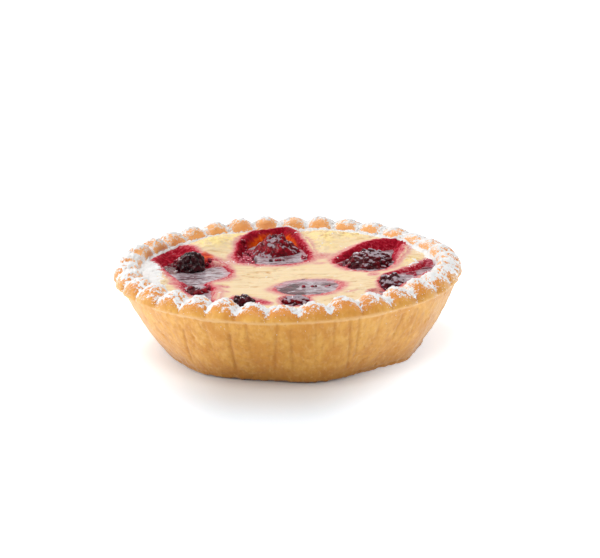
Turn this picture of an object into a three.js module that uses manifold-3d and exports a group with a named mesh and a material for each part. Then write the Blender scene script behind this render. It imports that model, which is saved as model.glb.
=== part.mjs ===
// A berry tart: a shortcrust case with a scalloped rim, a baked cream filling and the berries sunk in it.
// Millimetres, +Z up, origin at the middle of the underside. The front of the tart faces -Y, and angles
// round it run from the front towards the right (+X).

import * as THREE from "three";
import { mergeVertices } from "three/addons/utils/BufferGeometryUtils.js";
import Module from "manifold-3d";

// Driving dimensions of the pastry case
const BASE_RADIUS = 46.2;
const BASE_EDGE_ROUND = 1.7;
const BASE_EDGE_HEIGHT = 1.4;
const SEAM_RADIUS = 57.7;
const SEAM_HEIGHT = 23.3;
const SEAM_LIP = 0.4;
const RIM_OUTER_RADIUS = 60.6;
const RIM_INNER_RADIUS = 51.4;
const RIM_BASE_HEIGHT = 24.2;
const RIM_TOP_HEIGHT = 30;
const WALL_THICKNESS = 5;
const FLOOR_THICKNESS = 4.4;

// How a hand-made case differs from a true cone
const WALL_BELLY = 0.9;
const WALL_SHIFT = 0.9; // the wall stands this far to the right under the rim
const LEFT_FLARE = 1.3; // its left side leans this much further out at the seam
const OUTLINE_WAVES = [
  { turns: 3, swing: 0.004, phase: 0.6 },
  { turns: 7, swing: 0.003, phase: 2 },
];
const BASE_CORNERS = [
  { atDeg: 11, reach: 2.9, widthDeg: 14 },
  { atDeg: 52, reach: 2, widthDeg: 9 },
  { atDeg: 128, reach: 1.6, widthDeg: 16 },
  { atDeg: -130, reach: 1.8, widthDeg: 18 },
  { atDeg: -36, reach: 1.9, widthDeg: 14 },
];

// The scallops round the rim
const LOBE_COUNT = 34;
const STEPS_PER_LOBE = 4;
const RIM_SECTION_STEPS = 6;
const LOBE_LEAN = 1.4; // the ridge of a lobe stands this far inside the middle of the rim
const VALLEY_RISE = 2.4;
const VALLEY_OUTER_PINCH = 1;
const VALLEY_INNER_PINCH = 0.5;
const SECTION_FULLNESS = 0.8; // under 1 the section of the rim is squarer than an ellipse
const FIRST_LOBE_DEG = -2.5;
const SPACING_WAVES = [
  { turns: 1, swingDeg: 2.4, phaseDeg: 162 },
  { turns: 2, swingDeg: 0.7, phaseDeg: 153 },
  { turns: 3, swingDeg: 0.6, phaseDeg: -127 },
];
const LOBE_SIZE_SWING = 0.12;
const LOBE_SIZE_BEATS = [2.7, 1.3]; // radians a lobe, out of step so that the sizes look chance
const LOW_LOBES = [
  { atDeg: -4, widthDeg: 17, lost: 0.4 },
  { atDeg: 118, widthDeg: 38, lost: 0.55 },
  { atDeg: 158, widthDeg: 14, lost: 0.15 },
];

// The cream filling
const FILLING_GAP = 0.3;
const FILLING_COLUMNS = 60;
const FILLING_RINGS = 10;
const FILLING_MIDDLE_HEIGHT = 23.7;
const FILLING_EDGE_HEIGHT = 25.2;
const FILLING_SWELL = 1.9; // extra height of the swollen ring between the middle and the case
const SWELL_AT = 0.78; // share of the radius where the filling stands highest
const SWELL_WIDTH = 0.3;
const EDGE_POWER = 6; // how late the filling climbs to its edge

// The hollows that the berries have baked into the filling: middle, half sizes, turn, depth and raised lip
const HOLLOW_FLOOR = 0.45; // share of a hollow's reach that is level
const LIP_WIDTH = 0.16;
const HOLLOWS = {
  back: { x: -5.3, y: 28.5, across: 13.5, along: 21.5, turnDeg: 0, depth: 5, lip: 1 },
  left: { x: -34.5, y: 7, across: 13, along: 24, turnDeg: 11, depth: 3.4, lip: 0.4 },
  lowerLeft: { x: -29.5, y: -24.5, across: 6.5, along: 13, turnDeg: 12, depth: 2, lip: 0 },
  rightBack: { x: 29.5, y: 12.5, across: 12.5, along: 19, turnDeg: -14, depth: 4.6, lip: 0.8 },
  right: { x: 41, y: -12.5, across: 18, along: 6.5, turnDeg: 56, depth: 2.4, lip: 0.2 },
  centre: { x: 5.8, y: -22.8, across: 11, along: 11.5, turnDeg: 0, depth: 1.2, lip: 0 },
  frontLeft: { x: -15, y: -39.3, across: 5.2, along: 5.8, turnDeg: 0, depth: 1.6, lip: 0 },
  frontMiddle: { x: 2, y: -39.2, across: 5.6, along: 5.8, turnDeg: 0, depth: 1.6, lip: 0 },
  frontRight: { x: 28.8, y: -33, across: 4, along: 4.6, turnDeg: 0, depth: 1.2, lip: 0 },
};

// The berries: middle, half sizes, turn, number of drupelets and fineness of the faceting
const BERRY_GAP = 0.35;
const GROOVE_DEPTH = 0.16; // share of a berry's radius lost in the grooves between drupelets
const RED = 0x6e0f1d;
const DARK = 0x2c0f16;
const BERRIES = {
  berry_back: {
    at: [-4.6, 25.4, 22.3], half: [10.4, 8, 7.2], turnDeg: 10, drupelets: 26, fine: 3, color: RED,
  },
  berry_left: {
    at: [-34, 6.4, 24.8], half: [5.2, 6, 5.9], turnDeg: 0, drupelets: 24, fine: 3, color: DARK,
  },
  berry_lower_left: {
    at: [-31.2, -23.6, 22.9], half: [5.6, 4.8, 3.4], turnDeg: 20, drupelets: 14, fine: 2, color: RED,
  },
  berry_right_back: {
    at: [29, 8.8, 22.5], half: [9.6, 7.2, 5.9], turnDeg: -14, drupelets: 28, fine: 3, color: DARK,
  },
  berry_right: {
    at: [34.6, -20.6, 22.4], half: [6.8, 6, 5.6], turnDeg: 35, drupelets: 20, fine: 3, color: DARK,
  },
  berry_centre: {
    at: [7.5, -19.3, 20.6], half: [8, 4.6, 2.8], turnDeg: 12, drupelets: 16, fine: 2, color: DARK,
  },
  berry_front_left: {
    at: [-15, -38.6, 22.9], half: [5.2, 4.8, 4.7], turnDeg: 0, drupelets: 16, fine: 3, color: DARK,
  },
  berry_front_middle: {
    at: [2.2, -38.8, 22.3], half: [6.2, 4.8, 4.8], turnDeg: 0, drupelets: 18, fine: 3, color: DARK,
  },
  berry_front_right: {
    at: [29, -32.6, 21.4], half: [4.4, 4, 3.5], turnDeg: 30, drupelets: 14, fine: 2, color: DARK,
  },
};

const FULL_TURN = 2 * Math.PI;
const GOLDEN_ANGLE = Math.PI * (3 - Math.sqrt(5));
const { lerp, smoothstep, degToRad, euclideanModulo } = THREE.MathUtils;

// A smooth hump: 1 at 0, falling to about a third at a distance of width.
function hump(distance, width) {
  return Math.exp(-((distance / width) ** 2));
}

// The angle from one direction to another, the short way round.
function angleBetween(from, to) {
  return euclideanModulo(to - from + Math.PI, FULL_TURN) - Math.PI;
}

// A point at a radius, angle and height.
function around(radius, angle, height) {
  return new THREE.Vector3(radius * Math.sin(angle), -radius * Math.cos(angle), height);
}

// The angle at which lobe number n begins.
function lobeEdge(n) {
  const pitch = FULL_TURN / LOBE_COUNT;
  const waves = SPACING_WAVES.reduce(
    (sum, w) => sum + degToRad(w.swingDeg) * Math.sin(w.turns * n * pitch + degToRad(w.phaseDeg)),
    0,
  );
  return degToRad(FIRST_LOBE_DEG) + (n - 0.5) * pitch + waves;
}

// How large lobe number n is beside a full one.
function lobeSize(n) {
  const [slow, quick] = LOBE_SIZE_BEATS;
  const middle = lobeEdge(n + 0.5);
  const lost = LOW_LOBES.reduce(
    (sum, low) => sum + low.lost * hump(angleBetween(degToRad(low.atDeg), middle), degToRad(low.widthDeg)),
    0,
  );
  return 1 + LOBE_SIZE_SWING * Math.sin(slow * n) * Math.cos(quick * n) - lost;
}

// Each column of the case: its angle, and how much of a lobe's full section it has (0 in a valley).
function rimColumns() {
  const columns = [];
  for (let n = 0; n < LOBE_COUNT; n++) {
    for (let step = 0; step < STEPS_PER_LOBE; step++) {
      const share = step / STEPS_PER_LOBE;
      columns.push({
        angle: lerp(lobeEdge(n), lobeEdge(n + 1), share),
        lobe: lobeSize(n) * Math.sqrt(1 - (2 * share - 1) ** 2),
      });
    }
  }
  return columns;
}

// How far the rim's outline differs from a circle, as a factor on its radius.
function unevenness(angle) {
  return OUTLINE_WAVES.reduce((sum, w) => sum + w.swing * Math.sin(w.turns * angle + w.phase), 1);
}

// The outside radius of the wall, from its base edge (share 0) to the seam (share 1).
function wallRadius(angle, share) {
  const corners = BASE_CORNERS.reduce(
    (sum, c) => sum + c.reach * hump(angleBetween(degToRad(c.atDeg), angle), degToRad(c.widthDeg)),
    0,
  );
  const cone = lerp(BASE_RADIUS + corners, SEAM_RADIUS, share);
  const flare = LEFT_FLARE * share * Math.max(-Math.sin(angle), 0);
  return cone + flare + WALL_BELLY * Math.sin(Math.PI * share) + WALL_SHIFT * Math.sin(angle);
}

// One point of the rim's rounded section, from the outside (share 0) over the ridge to the inside (share 1).
function rimSection(share, lobe) {
  const turn = share * Math.PI;
  const outer = RIM_OUTER_RADIUS - VALLEY_OUTER_PINCH * (1 - lobe);
  const inner = RIM_INNER_RADIUS + VALLEY_INNER_PINCH * (1 - lobe);
  const rise = lerp(VALLEY_RISE, RIM_TOP_HEIGHT - RIM_BASE_HEIGHT, lobe);
  const middle = (outer + inner) / 2;
  const half = (outer - inner) / 2;
  return {
    radius: middle + half * Math.cos(turn) - LOBE_LEAN * lobe * Math.sin(turn),
    height: RIM_BASE_HEIGHT + rise * Math.sin(turn) ** SECTION_FULLNESS,
  };
}

// The inside radius of the cup at a height.
function cupRadius(height) {
  return lerp(BASE_RADIUS - WALL_THICKNESS, RIM_INNER_RADIUS, height / RIM_BASE_HEIGHT);
}

// The case's half section at one column: underside, wall, seam, rim, then down the inside of the cup.
function caseSection({ angle, lobe }) {
  const seam = wallRadius(angle, 1);
  const section = [
    { radius: wallRadius(angle, 0) - BASE_EDGE_ROUND, height: 0 },
    { radius: wallRadius(angle, 0), height: BASE_EDGE_HEIGHT },
    { radius: wallRadius(angle, 0.5), height: (BASE_EDGE_HEIGHT + SEAM_HEIGHT) / 2 },
    { radius: seam, height: SEAM_HEIGHT },
    { radius: seam + SEAM_LIP, height: SEAM_HEIGHT + SEAM_LIP / 2 },
  ];
  for (let step = 0; step <= RIM_SECTION_STEPS; step++) {
    const { radius, height } = rimSection(step / RIM_SECTION_STEPS, lobe);
    section.push({ radius: radius * unevenness(angle), height });
  }
  section.push({ radius: cupRadius(FLOOR_THICKNESS), height: FLOOR_THICKNESS });
  return section.map(({ radius, height }) => around(radius, angle, height));
}

// A closed skin over rings of equal length, with a fan to a point at each end.
function closedSkin(rings, firstPole, lastPole) {
  const count = rings[0].length;
  const positions = [...rings.flat(), firstPole, lastPole].flatMap((p) => p.toArray());
  const first = rings.length * count;
  const last = first + 1;
  const faces = [];
  for (let i = 0; i < count; i++) {
    const next = (i + 1) % count;
    faces.push(first, next, i);
    for (let below = 0; below < first - count; below += count) {
      const above = below + count;
      faces.push(below + i, below + next, above + next);
      faces.push(below + i, above + next, above + i);
    }
    faces.push(last, first - count + i, first - count + next);
  }
  const geometry = new THREE.BufferGeometry();
  geometry.setAttribute("position", new THREE.Float32BufferAttribute(positions, 3));
  geometry.setIndex(faces);
  return geometry;
}

function caseGeometry() {
  const sections = rimColumns().map(caseSection);
  const rings = sections[0].map((_, ring) => sections.map((section) => section[ring]));
  return closedSkin(rings, new THREE.Vector3(0, 0, 0), new THREE.Vector3(0, 0, FLOOR_THICKNESS));
}

// How far a hollow lowers the filling at a point: level in its middle, with a rounded wall and a raised lip.
function hollowDrop(hollow, x, y) {
  const turn = degToRad(hollow.turnDeg);
  const u = (x - hollow.x) * Math.cos(turn) + (y - hollow.y) * Math.sin(turn);
  const v = (y - hollow.y) * Math.cos(turn) - (x - hollow.x) * Math.sin(turn);
  const reach = Math.hypot(u / hollow.across, v / hollow.along);
  return hollow.depth * (1 - smoothstep(reach, HOLLOW_FLOOR, 1)) - hollow.lip * hump(reach - 1, LIP_WIDTH);
}

// The height of the filling's top at a point.
function fillingHeight(x, y) {
  const share = Math.hypot(x, y) / RIM_INNER_RADIUS;
  const swell = FILLING_SWELL * hump(share - SWELL_AT, SWELL_WIDTH);
  const edge = (FILLING_EDGE_HEIGHT - FILLING_MIDDLE_HEIGHT) * share ** EDGE_POWER;
  const drops = Object.values(HOLLOWS).map((hollow) => hollowDrop(hollow, x, y));
  const lip = Math.min(0, ...drops);
  const hollow = Math.max(0, ...drops);
  return FILLING_MIDDLE_HEIGHT + Math.max(swell, edge) - (hollow || lip);
}

// A ring of points at a radius, each at the height that heightAt gives.
function fillingRing(radius, heightAt) {
  const ring = [];
  for (let column = 0; column < FILLING_COLUMNS; column++) {
    const angle = (column / FILLING_COLUMNS) * FULL_TURN;
    const point = around(radius * unevenness(angle), angle, 0);
    point.z = heightAt(point.x, point.y);
    ring.push(point);
  }
  return ring;
}

function fillingGeometry() {
  const bottom = FLOOR_THICKNESS + FILLING_GAP;
  const edgeRadius = RIM_INNER_RADIUS - 2 * FILLING_GAP;
  const rings = [fillingRing(cupRadius(bottom) - 2 * FILLING_GAP, () => bottom)];
  for (let ring = FILLING_RINGS; ring >= 1; ring--) {
    rings.push(fillingRing((edgeRadius * ring) / FILLING_RINGS, fillingHeight));
  }
  const top = new THREE.Vector3(0, 0, fillingHeight(0, 0));
  return closedSkin(rings, new THREE.Vector3(0, 0, bottom), top);
}

// Directions of a berry's drupelets, spread evenly over it in a spiral.
function drupeletDirections(count) {
  return Array.from({ length: count }, (_, i) => {
    const height = 1 - (2 * (i + 0.5)) / count;
    const radius = Math.sqrt(1 - height ** 2);
    return new THREE.Vector3().setFromCylindricalCoords(radius, i * GOLDEN_ANGLE, height);
  });
}

// A berry as a ball of drupelets, grown outwards by a margin.
function berryGeometry(berry, margin) {
  const geometry = new THREE.IcosahedronGeometry(1, berry.fine);
  const centres = drupeletDirections(berry.drupelets);
  const drupeletReach = 2 / Math.sqrt(berry.drupelets);
  const half = new THREE.Vector3(...berry.half).addScalar(margin);
  const position = geometry.getAttribute("position");
  const point = new THREE.Vector3();
  for (let i = 0; i < position.count; i++) {
    point.fromBufferAttribute(position, i).normalize();
    const nearest = Math.min(...centres.map((centre) => centre.distanceTo(point)));
    const bump = Math.sqrt(Math.max(0, 1 - (nearest / drupeletReach) ** 2));
    point.multiplyScalar(1 - GROOVE_DEPTH * (1 - bump)).multiply(half);
    position.setXYZ(i, ...point);
  }
  return geometry.rotateZ(degToRad(berry.turnDeg)).translate(...berry.at);
}

const wasm = await Module();
wasm.setup();

// A closed geometry as a solid that can be cut.
function solidFrom(geometry) {
  const bare = geometry.clone();
  bare.deleteAttribute("normal");
  bare.deleteAttribute("uv");
  const merged = mergeVertices(bare);
  return new wasm.Manifold(
    new wasm.Mesh({
      numProp: 3,
      vertProperties: merged.getAttribute("position").array,
      triVerts: new Uint32Array(merged.index.array),
    }),
  );
}

function geometryFrom(solid) {
  const mesh = solid.getMesh();
  const geometry = new THREE.BufferGeometry();
  geometry.setAttribute("position", new THREE.BufferAttribute(mesh.vertProperties, mesh.numProp));
  geometry.setIndex(new THREE.BufferAttribute(mesh.triVerts, 1));
  return geometry;
}

// The filling with a seat cut for each berry, clear of it by the gap.
function seatedFillingGeometry() {
  let filling = solidFrom(fillingGeometry());
  for (const berry of Object.values(BERRIES)) {
    filling = filling.subtract(solidFrom(berryGeometry(berry, BERRY_GAP)));
  }
  return geometryFrom(filling);
}

// One named sub-part with its own matt or glossy finish.
function piece(name, geometry, color, roughness) {
  const faceted = geometry.index ? geometry.toNonIndexed() : geometry;
  faceted.computeVertexNormals();
  const material = new THREE.MeshStandardMaterial({ color, roughness, metalness: 0 });
  const mesh = new THREE.Mesh(faceted, material);
  mesh.name = name;
  return mesh;
}

function buildTart() {
  const tart = new THREE.Group();
  tart.add(piece("crust", caseGeometry(), 0xd9a25c, 0.75));
  tart.add(piece("filling", seatedFillingGeometry(), 0xf6dda4, 0.5));
  for (const [name, berry] of Object.entries(BERRIES)) {
    tart.add(piece(name, berryGeometry(berry, 0), berry.color, 0.15));
  }
  return tart;
}

const group = buildTart();
export default group;
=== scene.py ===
"""Looks of the berry tart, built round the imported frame.

Shapes are worked out in millimetres and become metres when their mesh is made. +Z is up, the front of the
tart faces -Y, and angles round it run from the front towards the right (+X). An oval is the x and y of its
middle, its half sizes across and along, and its turn in degrees. The sizes of the case, the filling and the
berries repeat those of the CAD model.
"""

import math
from functools import cache
from itertools import product
from typing import NamedTuple

import bmesh
import bpy
import numpy as np
from mathutils import Matrix, Quaternion, Vector


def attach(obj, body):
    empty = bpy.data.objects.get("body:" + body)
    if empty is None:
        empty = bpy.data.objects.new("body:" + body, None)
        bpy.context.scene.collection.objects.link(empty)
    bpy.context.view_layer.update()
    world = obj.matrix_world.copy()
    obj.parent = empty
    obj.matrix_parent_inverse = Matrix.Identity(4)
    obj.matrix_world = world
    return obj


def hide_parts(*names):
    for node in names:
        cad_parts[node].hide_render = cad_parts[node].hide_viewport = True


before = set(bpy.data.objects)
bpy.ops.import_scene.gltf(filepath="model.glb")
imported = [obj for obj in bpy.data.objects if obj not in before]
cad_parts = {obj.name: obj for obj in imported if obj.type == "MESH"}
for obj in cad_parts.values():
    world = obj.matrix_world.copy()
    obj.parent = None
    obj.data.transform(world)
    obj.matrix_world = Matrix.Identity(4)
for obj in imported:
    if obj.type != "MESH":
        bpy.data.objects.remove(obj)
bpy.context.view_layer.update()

MM = 0.001
TAU = 2 * math.pi
SEED = 20

# ---- The pastry case, as in the CAD model ----

BASE_RADIUS = 46.2
BASE_EDGE_ROUND = 1.7
BASE_EDGE_HEIGHT = 1.4
SEAM_RADIUS = 57.7
SEAM_HEIGHT = 23.3
SEAM_LIP = 0.4
RIM_OUTER_RADIUS = 60.6
RIM_INNER_RADIUS = 51.4
RIM_BASE_HEIGHT = 24.2
RIM_TOP_HEIGHT = 30
WALL_THICKNESS = 5
FLOOR_THICKNESS = 4.4
WALL_BELLY = 0.9
WALL_SHIFT = 0.9
LEFT_FLARE = 1.3
OUTLINE_WAVES = [(3, 0.004, 0.6), (7, 0.003, 2)]  # turns, swing and phase
# Corners of the base: place and width in degrees, and reach
BASE_CORNERS = [(11, 14, 2.9), (52, 9, 2), (128, 16, 1.6), (-130, 18, 1.8), (-36, 14, 1.9)]

LOBE_COUNT = 34
LOBE_FULLNESS = 2.2  # 2 gives a parabola, and more gives a fuller lobe with a narrower valley
LOBE_LEAN = 1.4
VALLEY_RISE = 2.4
VALLEY_OUTER_PINCH = 1.0
VALLEY_INNER_PINCH = 0.5
VALLEY_SHADE = 0.28  # how much of the creases' painted shade the outside of the valleys has
SECTION_FULLNESS = 0.8
FIRST_LOBE_DEG = -2.5
SPACING_WAVES = [(1, 2.4, 162), (2, 0.7, 153), (3, 0.6, -127)]  # turns, swing and phase in degrees
LOBE_SIZE_SWING = 0.12
LOBE_SIZE_BEATS = (2.7, 1.3)
LOW_LOBES = [(-4, 17, 0.4), (118, 38, 0.55), (158, 14, 0.15)]  # place and width in degrees, share lost

# Creases down the wall: degrees and share of its height at the top and the foot, depth and width in mm
WALL_CREASES = [
    (-38, 0.75, -41, 0.18, 0.31, 0.52),
    (-31, 1.0, -29, 0.8, 0.2, 0.45),
    (-28, 0.95, -28, 0.5, 0.17, 0.6),
    (-20, 0.8, -21.5, 0.12, 0.41, 0.6),
    (-14, 1.0, -14, 0.5, 0.27, 0.45),
    (-4, 1.0, -6, 0.2, 0.31, 0.52),
    (0, 0.9, 0.5, 0.25, 0.27, 0.68),
    (8, 1.0, 8, 0.65, 0.2, 0.45),
    (14, 1.0, 14, 0.6, 0.24, 0.38),
    (19, 1.0, 21, 0.15, 0.31, 0.52),
    (22, 1.0, 23, 0.4, 0.27, 0.45),
    (30, 1.0, 30, 0.6, 0.2, 0.45),
    (40, 0.9, 38, 0.55, 0.24, 0.6),
    (47, 0.9, 46, 0.5, 0.2, 0.45),
]
CREASE_DEEPEST = 0.5  # creases that deep have their full painted shade
CHANCE_CREASES = 24
CHANCE_CREASE_RANGE_DEG = (52, 318)

# ---- The filling ----

FILLING_EDGE_RADIUS = 51.9
FILLING_FLOOR = FLOOR_THICKNESS + 0.3
FILLING_SIDE_HEIGHTS = (22, 14, FILLING_FLOOR)
FILLING_SIDE_GAP = 0.5
FILLING_MIDDLE_HEIGHT = 23.7
FILLING_EDGE_RISE = 1.5
FILLING_SWELL = 1.9
SWELL_AT = 0.78
SWELL_WIDTH = 0.3
EDGE_POWER = 6
BRIM_DROP = 0.5
FOLD_DEPTH = 0.3
FOLD_WIDTH = 0.045
OUTLINE_WANDER = 0.7

# Swollen places: oval and rise
BULGES = [
    ((-27, 30, 10, 6.5, 38), 2.3),
    ((-22, 40, 12, 8, 25), 1.35),
    ((12.5, 33, 6, 15, 0), 1.3),
    ((24, 40, 12, 6, -30), 0.9),
    ((42, 3, 5, 9, 35), 1.5),
    ((-45.5, 2, 4, 12, 8), 1.0),
    ((-36, -31, 6, 5, 0), 0.6),
]


class Hollow(NamedTuple):
    """A hollow in the cream. A pair of numbers is for its near end and for the rest of it."""
    depth: float
    wall: float  # how wide its side walls are
    far_wall: float  # how wide its far wall is
    lip: float  # how high its far edge is raised, with its near edge a fifth as high
    lip_width: float
    level: float  # the height of the syrup in it
    soak: tuple  # how red its edge is, from 0 to 1
    deep: float  # how red its floor is
    spread: tuple  # how far the red reaches over the cream round it
    outline: list


HOLLOWS = {
    "back": Hollow(5.2, 3, 11, 1.7, 2.2, 23.6, (0.48, 0.68), 0.66, (1.9, 1.3), [
        (-17.6, 13), (-18.4, 19.7), (-18.2, 26), (-17.2, 30.9), (-15.2, 36), (-12.2, 41), (-8, 45.8),
        (-3.8, 49), (-0.6, 50.2), (0.8, 47.6), (2.6, 41.8), (4.8, 33.6), (6.8, 26.3), (7.7, 18.9), (7, 13),
        (4.5, 10), (0.3, 8.3), (-4.3, 7.7), (-9.8, 8.7), (-14.4, 10.3), (-16.8, 11.4),
    ]),
    "left": Hollow(3.4, 2.4, 9, 0.4, 2, 23.8, (0.4, 0.46), 0.66, (2, 1.7), [
        (-48, 13.2), (-47.3, 18), (-46, 23.5), (-43.7, 28.8), (-41.1, 31.4), (-37.9, 30.5), (-34.9, 24.8),
        (-32.7, 20.7), (-30, 17.2), (-27.1, 13.6), (-24.3, 10.6), (-21.7, 5.8), (-20, 0.7), (-20.4, -4.2),
        (-22.8, -8.9), (-25.5, -13), (-29, -16.5), (-33, -17.5), (-36.5, -15.5), (-39, -10.5), (-41, -6),
        (-43.4, -0.5), (-46, 6.2),
    ]),
    "lower_left": Hollow(2, 2.4, 3, 0, 1, 24.2, (0.3, 0.36), 0.56, (1.5, 1.5), [
        (-37, -19), (-35, -14), (-31, -12), (-27.5, -15), (-25.2, -21), (-24, -28), (-24, -35),
        (-24.5, -39.3), (-26.9, -38), (-29.6, -34), (-32.8, -31), (-35.4, -25.5),
    ]),
    "right_back": Hollow(4.6, 3, 8, 0.9, 2, 23.1, (0.38, 0.56), 0.58, (1.6, 1.5), [
        (16, 10.5), (17.6, 13.5), (20.4, 17), (23.8, 21), (27.2, 25.2), (30.6, 28.2), (34.6, 30.2),
        (38.8, 31.6), (41.8, 30), (42.2, 25.5), (41.3, 19), (40, 12.3), (38.3, 4.2), (36.5, -0.5),
        (34, -5), (31, -6.6), (26.3, -5.6), (22, -1.4), (18.8, 3.4), (16.8, 7.6),
    ]),
    "right": Hollow(2.4, 1.4, 1.6, 0.2, 1.4, 24.6, (0.42, 0.45), 0.6, (0.8, 0.8), [
        (30.4, -17.5), (31.8, -13.2), (34.5, -10.6), (37.4, -9), (40.9, -6.5), (44.6, -3.5), (48.3, 0.6),
        (50.6, 3), (51.8, 0), (51, -5), (49.8, -8.6), (47.2, -11.2), (44.2, -14.4), (41.6, -18.4),
        (39.3, -21.5), (37.2, -26), (34.8, -29.6), (32.2, -30.6), (30.2, -28), (29.8, -23),
    ]),
    "centre": Hollow(1.1, 3, 2.4, 0, 1, 23.95, (0.3, 0.32), 0.36, (2.1, 1.5), [
        (-5, -22.4), (-3.7, -17.8), (-1, -14), (2.5, -12.2), (6.5, -11.6), (10.5, -12), (14.8, -13.4),
        (18, -18.5), (17.2, -25), (14.5, -30.6), (11.5, -32.8), (7.5, -34.2), (3.5, -34), (-0.8, -31.6),
        (-3.8, -27.4),
    ]),
    "front_left": Hollow(1.6, 2, 1.6, 0, 1.2, 23.4, (0.3, 0.3), 0.5, (0.6, 0.6), [
        (-20, -39), (-18, -34.6), (-14.5, -33.6), (-11.4, -36), (-10, -40), (-12, -45), (-18, -45),
    ]),
    "front_middle": Hollow(1.6, 2, 1.6, 0, 1.2, 23.4, (0.3, 0.3), 0.5, (0.6, 0.6), [
        (-3.4, -38.5), (-1.8, -34.6), (2, -33.6), (5.6, -35), (7.2, -39), (5.4, -44.5), (-1.6, -44.8),
    ]),
    "front_right": Hollow(1.2, 2, 1.2, 0, 1, 24.3, (0.16, 0.16), 0.2, (0.7, 0.7), [
        (25, -33), (26.4, -29.6), (29.5, -28.4), (32.4, -30), (32.6, -34), (29.5, -37.6), (26, -36.6),
    ]),
}

# Where juice has crept over the cream: oval and strength
BLEEDS = [
    ((-22.5, 12, 4, 4.5, -20), 0.16),
    ((12, 16, 5, 4, 10), 0.17),
    ((11, 9, 4, 2, 0), 0.12),
    ((29, -10.5, 3, 3, -40), 0.2),
    ((-9.5, -40, 5.5, 2.6, -40), 0.42),
    ((12, -33.5, 4, 2, 20), 0.22),
    ((20.5, -31, 4.5, 1.6, 30), 0.12),
    ((40, -19, 3.2, 7.5, -30), 0.42),
    ((46, -12, 3, 4, -30), 0.36),
    ((50, 3.5, 3.5, 4.5, 0), 0.46),
    ((-38.5, -17, 2.2, 3.5, 30), 0.3),
    ((-22.5, -19.5, 4, 2.4, -38), 0.24),
    ((-21.5, -27, 3.4, 1.8, -40), 0.18),
    ((-20.6, -3.6, 1.6, 3, 20), 0.36),
    ((21.5, 20.5, 10, 3.6, 50), 0.2),
    ((4, -21.5, 14, 12.5, 0), 0.13),
    ((-2, -22, 8, 8, 0), 0.11),
]

# Where the soaked walls are paler, or darker below zero: oval and how much
WALL_SHADES = [
    ((41, 12, 4.5, 17, -8), 0.24),
    ((-41, 28, 6, 6, 30), 0.1),
    ((-15, 16, 4, 7, 0), 0.12),
    ((6.5, 28, 4, 14, 8), 0.15),
    ((-25.5, 9, 4.5, 5, -40), 0.36),
    ((-24.5, -31, 3, 8, 0), 0.16),
    ((22, 17, 3, 6, -35), -0.14),
]

# Baked amber juice on the hollows' walls: oval, strength, and how far it spills over their edge, below zero
# where it stays inside
AMBER_PATCHES = [
    ((-4.5, 35.5, 12, 10.5, 0), 1.0, -1),
    ((5.6, 25, 5, 13, 0), 0.5, -1.6),
    ((-28.5, 17.5, 2.6, 4.5, 0), 0.75, 3),
]

REFLECTION_GAPS = [  # ovals where less painted reflection lies on the syrup, so that its own dark colour shows
    (-0.6, -22.4, 7, 2.4, 58), (0, -28, 6, 2.4, 10), (13.5, -18, 3, 1, 10), (-40, 9, 4.5, 10, -12),
    (-30, 9, 3, 5, -30), (34, -25, 6, 5, 30), (20, 6, 4, 8, -20),
]
SUNK_SYRUP = [  # ovals where it has sunk below the soaked mush
    (-44.5, 20, 4, 10, -14), (-15.5, 17, 4, 9, 0), (38.5, 12, 4.5, 10, -8), (-29, 11, 4, 3, -30),
]
SYRUP_SINK = 2
SYRUP_UNDER = 0.3  # how far its underside lies below the surface that it covers
SYRUP_MARGIN = 1.2  # how far its level surface runs on past a hollow's outline
DUSTED_STRIP = (-49.6, 0, 5.6, 24, 12)  # the sugared strip of cream at the left
TINTED_SUGAR = (-21, 12, 4.4, 3.4, -20)  # a smear of sugar that the juice has tinted
TINTED_STRENGTH = 0.55

# ---- The berries ----


class Berry(NamedTuple):
    """A berry that stands in one of the hollows."""
    middle: tuple
    half: tuple  # half sizes
    turn_deg: float
    drupelet: float  # the radius of its drupelets
    torn: int  # how many pieces are torn off it
    taper: float  # how much narrower its top is than its middle, as a share
    painted_reflection: float  # the more, the more of its upper side a painted lilac-grey reflection covers
    redness: float  # 0 for a dark berry and 1 for a red one


BERRIES = {
    "back": Berry((-4.6, 25.4, 22.3), (10.4, 8, 8.8), 10, 1.15, 6, 0.5, 0.04, 1),
    "left": Berry((-34, 6.4, 24.8), (5.2, 6, 5.9), 0, 1.1, 1, 0.2, -0.3, 0.05),
    "lower_left": Berry((-31.2, -23.6, 22.9), (5.6, 4.8, 3.4), 20, 1.2, 3, 0.22, -0.12, 0.9),
    "right_back": Berry((29, 8.8, 22.5), (9.6, 7.2, 5.9), -14, 0.95, 1, 0.22, 0, 0.35),
    "right": Berry((34.6, -20.6, 22.4), (6.8, 6, 5.6), 35, 1.1, 2, 0.22, 0.2, 0.3),
    "centre": Berry((7.5, -19.3, 20.6), (8, 4.6, 2.8), 12, 1.3, 0, 0.22, 1.0, 0.4),
    "front_left": Berry((-15, -38.6, 22.9), (5.2, 4.8, 4.7), 0, 1, 0, 0.1, -0.2, 0.15),
    "front_middle": Berry((2.2, -38.8, 22.3), (6.2, 4.8, 4.8), 0, 1, 2, 0.15, 0.2, 0.6),
    "front_right": Berry((29, -32.6, 21.4), (4.4, 4, 3.5), 30, 1.15, 2, 0.22, 0.05, 0.4),
}
GOLDEN_ANGLE = math.pi * (3 - math.sqrt(5))
GROOVE_SHARPNESS = 36
DRUPELET_CROWDING = 5.5
CUT_REACH = (0.76, 0.92)  # how far out the flat faces of the torn places lie, as a share

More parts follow.
